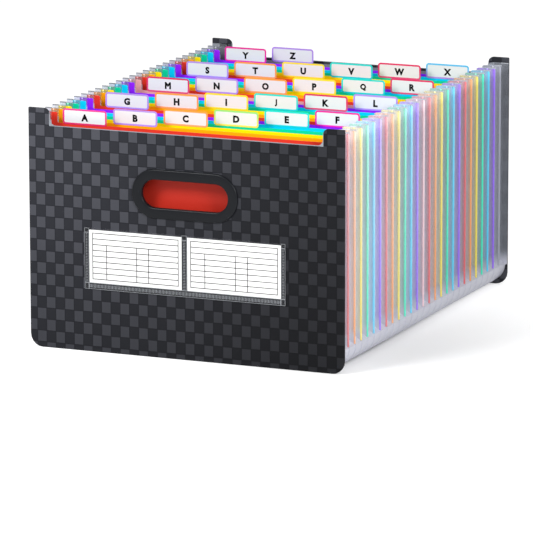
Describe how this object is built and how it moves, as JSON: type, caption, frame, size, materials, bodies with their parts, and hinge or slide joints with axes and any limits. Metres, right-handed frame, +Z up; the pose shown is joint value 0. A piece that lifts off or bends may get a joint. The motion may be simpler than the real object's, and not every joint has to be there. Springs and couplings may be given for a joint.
{
  "type": "expanding file folder",
  "caption": "Expanding desktop file folder stood open: dark ribbed plastic covers with a hand hole, pleated frosted gusset, coloured dividers with lettered tabs, and a label strip.",
  "frame": {"origin": "on the floor, under the middle of the folder", "axes": "+X across the covers, +Y from the front cover with the handle to the rear cover, +Z up"},
  "size_m": [0.33, 0.4474, 0.2365],
  "materials": {
    "cover_plastic": "satin charcoal sheet embossed with fine ribbed checks",
    "handle_plastic": "smooth satin",
    "clear_film": "clear glossy film with ribbed welds",
    "card_paper": "matt ruled paper",
    "gusset_film": "frosted translucent film",
    "divider_red": "satin translucent",
    "divider_orange": "satin translucent",
    "divider_yellow": "satin translucent",
    "divider_teal": "satin translucent",
    "divider_cyan": "satin translucent",
    "divider_purple": "satin translucent",
    "divider_pale_pink": "satin translucent",
    "divider_grey": "satin translucent",
    "label_pink": "satin print",
    "label_lavender": "satin print",
    "label_orange": "satin print",
    "label_yellow": "satin print",
    "label_teal": "satin print",
    "label_crimson": "satin print",
    "label_sky": "satin print"
  },
  "bodies": {
    "root": {"front_cover": "cover_plastic", "rear_cover": "cover_plastic", "handle_grommet": "handle_plastic", "handle_backing_ring": "handle_plastic", "label_pocket_film": "clear_film", "index_card_left": "card_paper", "index_card_right": "card_paper", "accordion_gusset": "gusset_film", "divider_a": "divider_red", "divider_b": "divider_orange", "divider_c": "divider_yellow", "divider_d": "divider_teal", "divider_e": "divider_cyan", "divider_f": "divider_purple", "divider_g": "divider_red", "divider_h": "divider_orange", "divider_i": "divider_yellow", "divider_j": "divider_teal", "divider_k": "divider_cyan", "divider_l": "divider_purple", "divider_m": "divider_pale_pink", "divider_n": "divider_red", "divider_o": "divider_orange", "divider_p": "divider_yellow", "divider_q": "divider_teal", "divider_r": "divider_cyan", "divider_s": "divider_purple", "divider_t": "divider_red", "divider_u": "divider_orange", "divider_v": "divider_yellow", "divider_w": "divider_teal", "divider_x": "divider_cyan", "divider_y": "divider_purple", "divider_z": "divider_grey", "tab_label_a": "label_pink", "tab_label_b": "label_lavender", "tab_label_c": "label_orange", "tab_label_d": "label_yellow", "tab_label_e": "label_teal", "tab_label_f": "label_pink", "tab_label_g": "label_lavender", "tab_label_h": "label_orange", "tab_label_i": "label_yellow", "tab_label_j": "label_teal", "tab_label_k": "label_crimson", "tab_label_l": "label_lavender", "tab_label_m": "label_crimson", "tab_label_n": "label_lavender", "tab_label_o": "label_orange", "tab_label_p": "label_yellow", "tab_label_q": "label_teal", "tab_label_r": "label_crimson", "tab_label_s": "label_lavender", "tab_label_t": "label_orange", "tab_label_u": "label_yellow", "tab_label_v": "label_teal", "tab_label_w": "label_crimson", "tab_label_x": "label_sky", "tab_label_y": "label_pink", "tab_label_z": "label_lavender"}
  },
  "joints": []
}
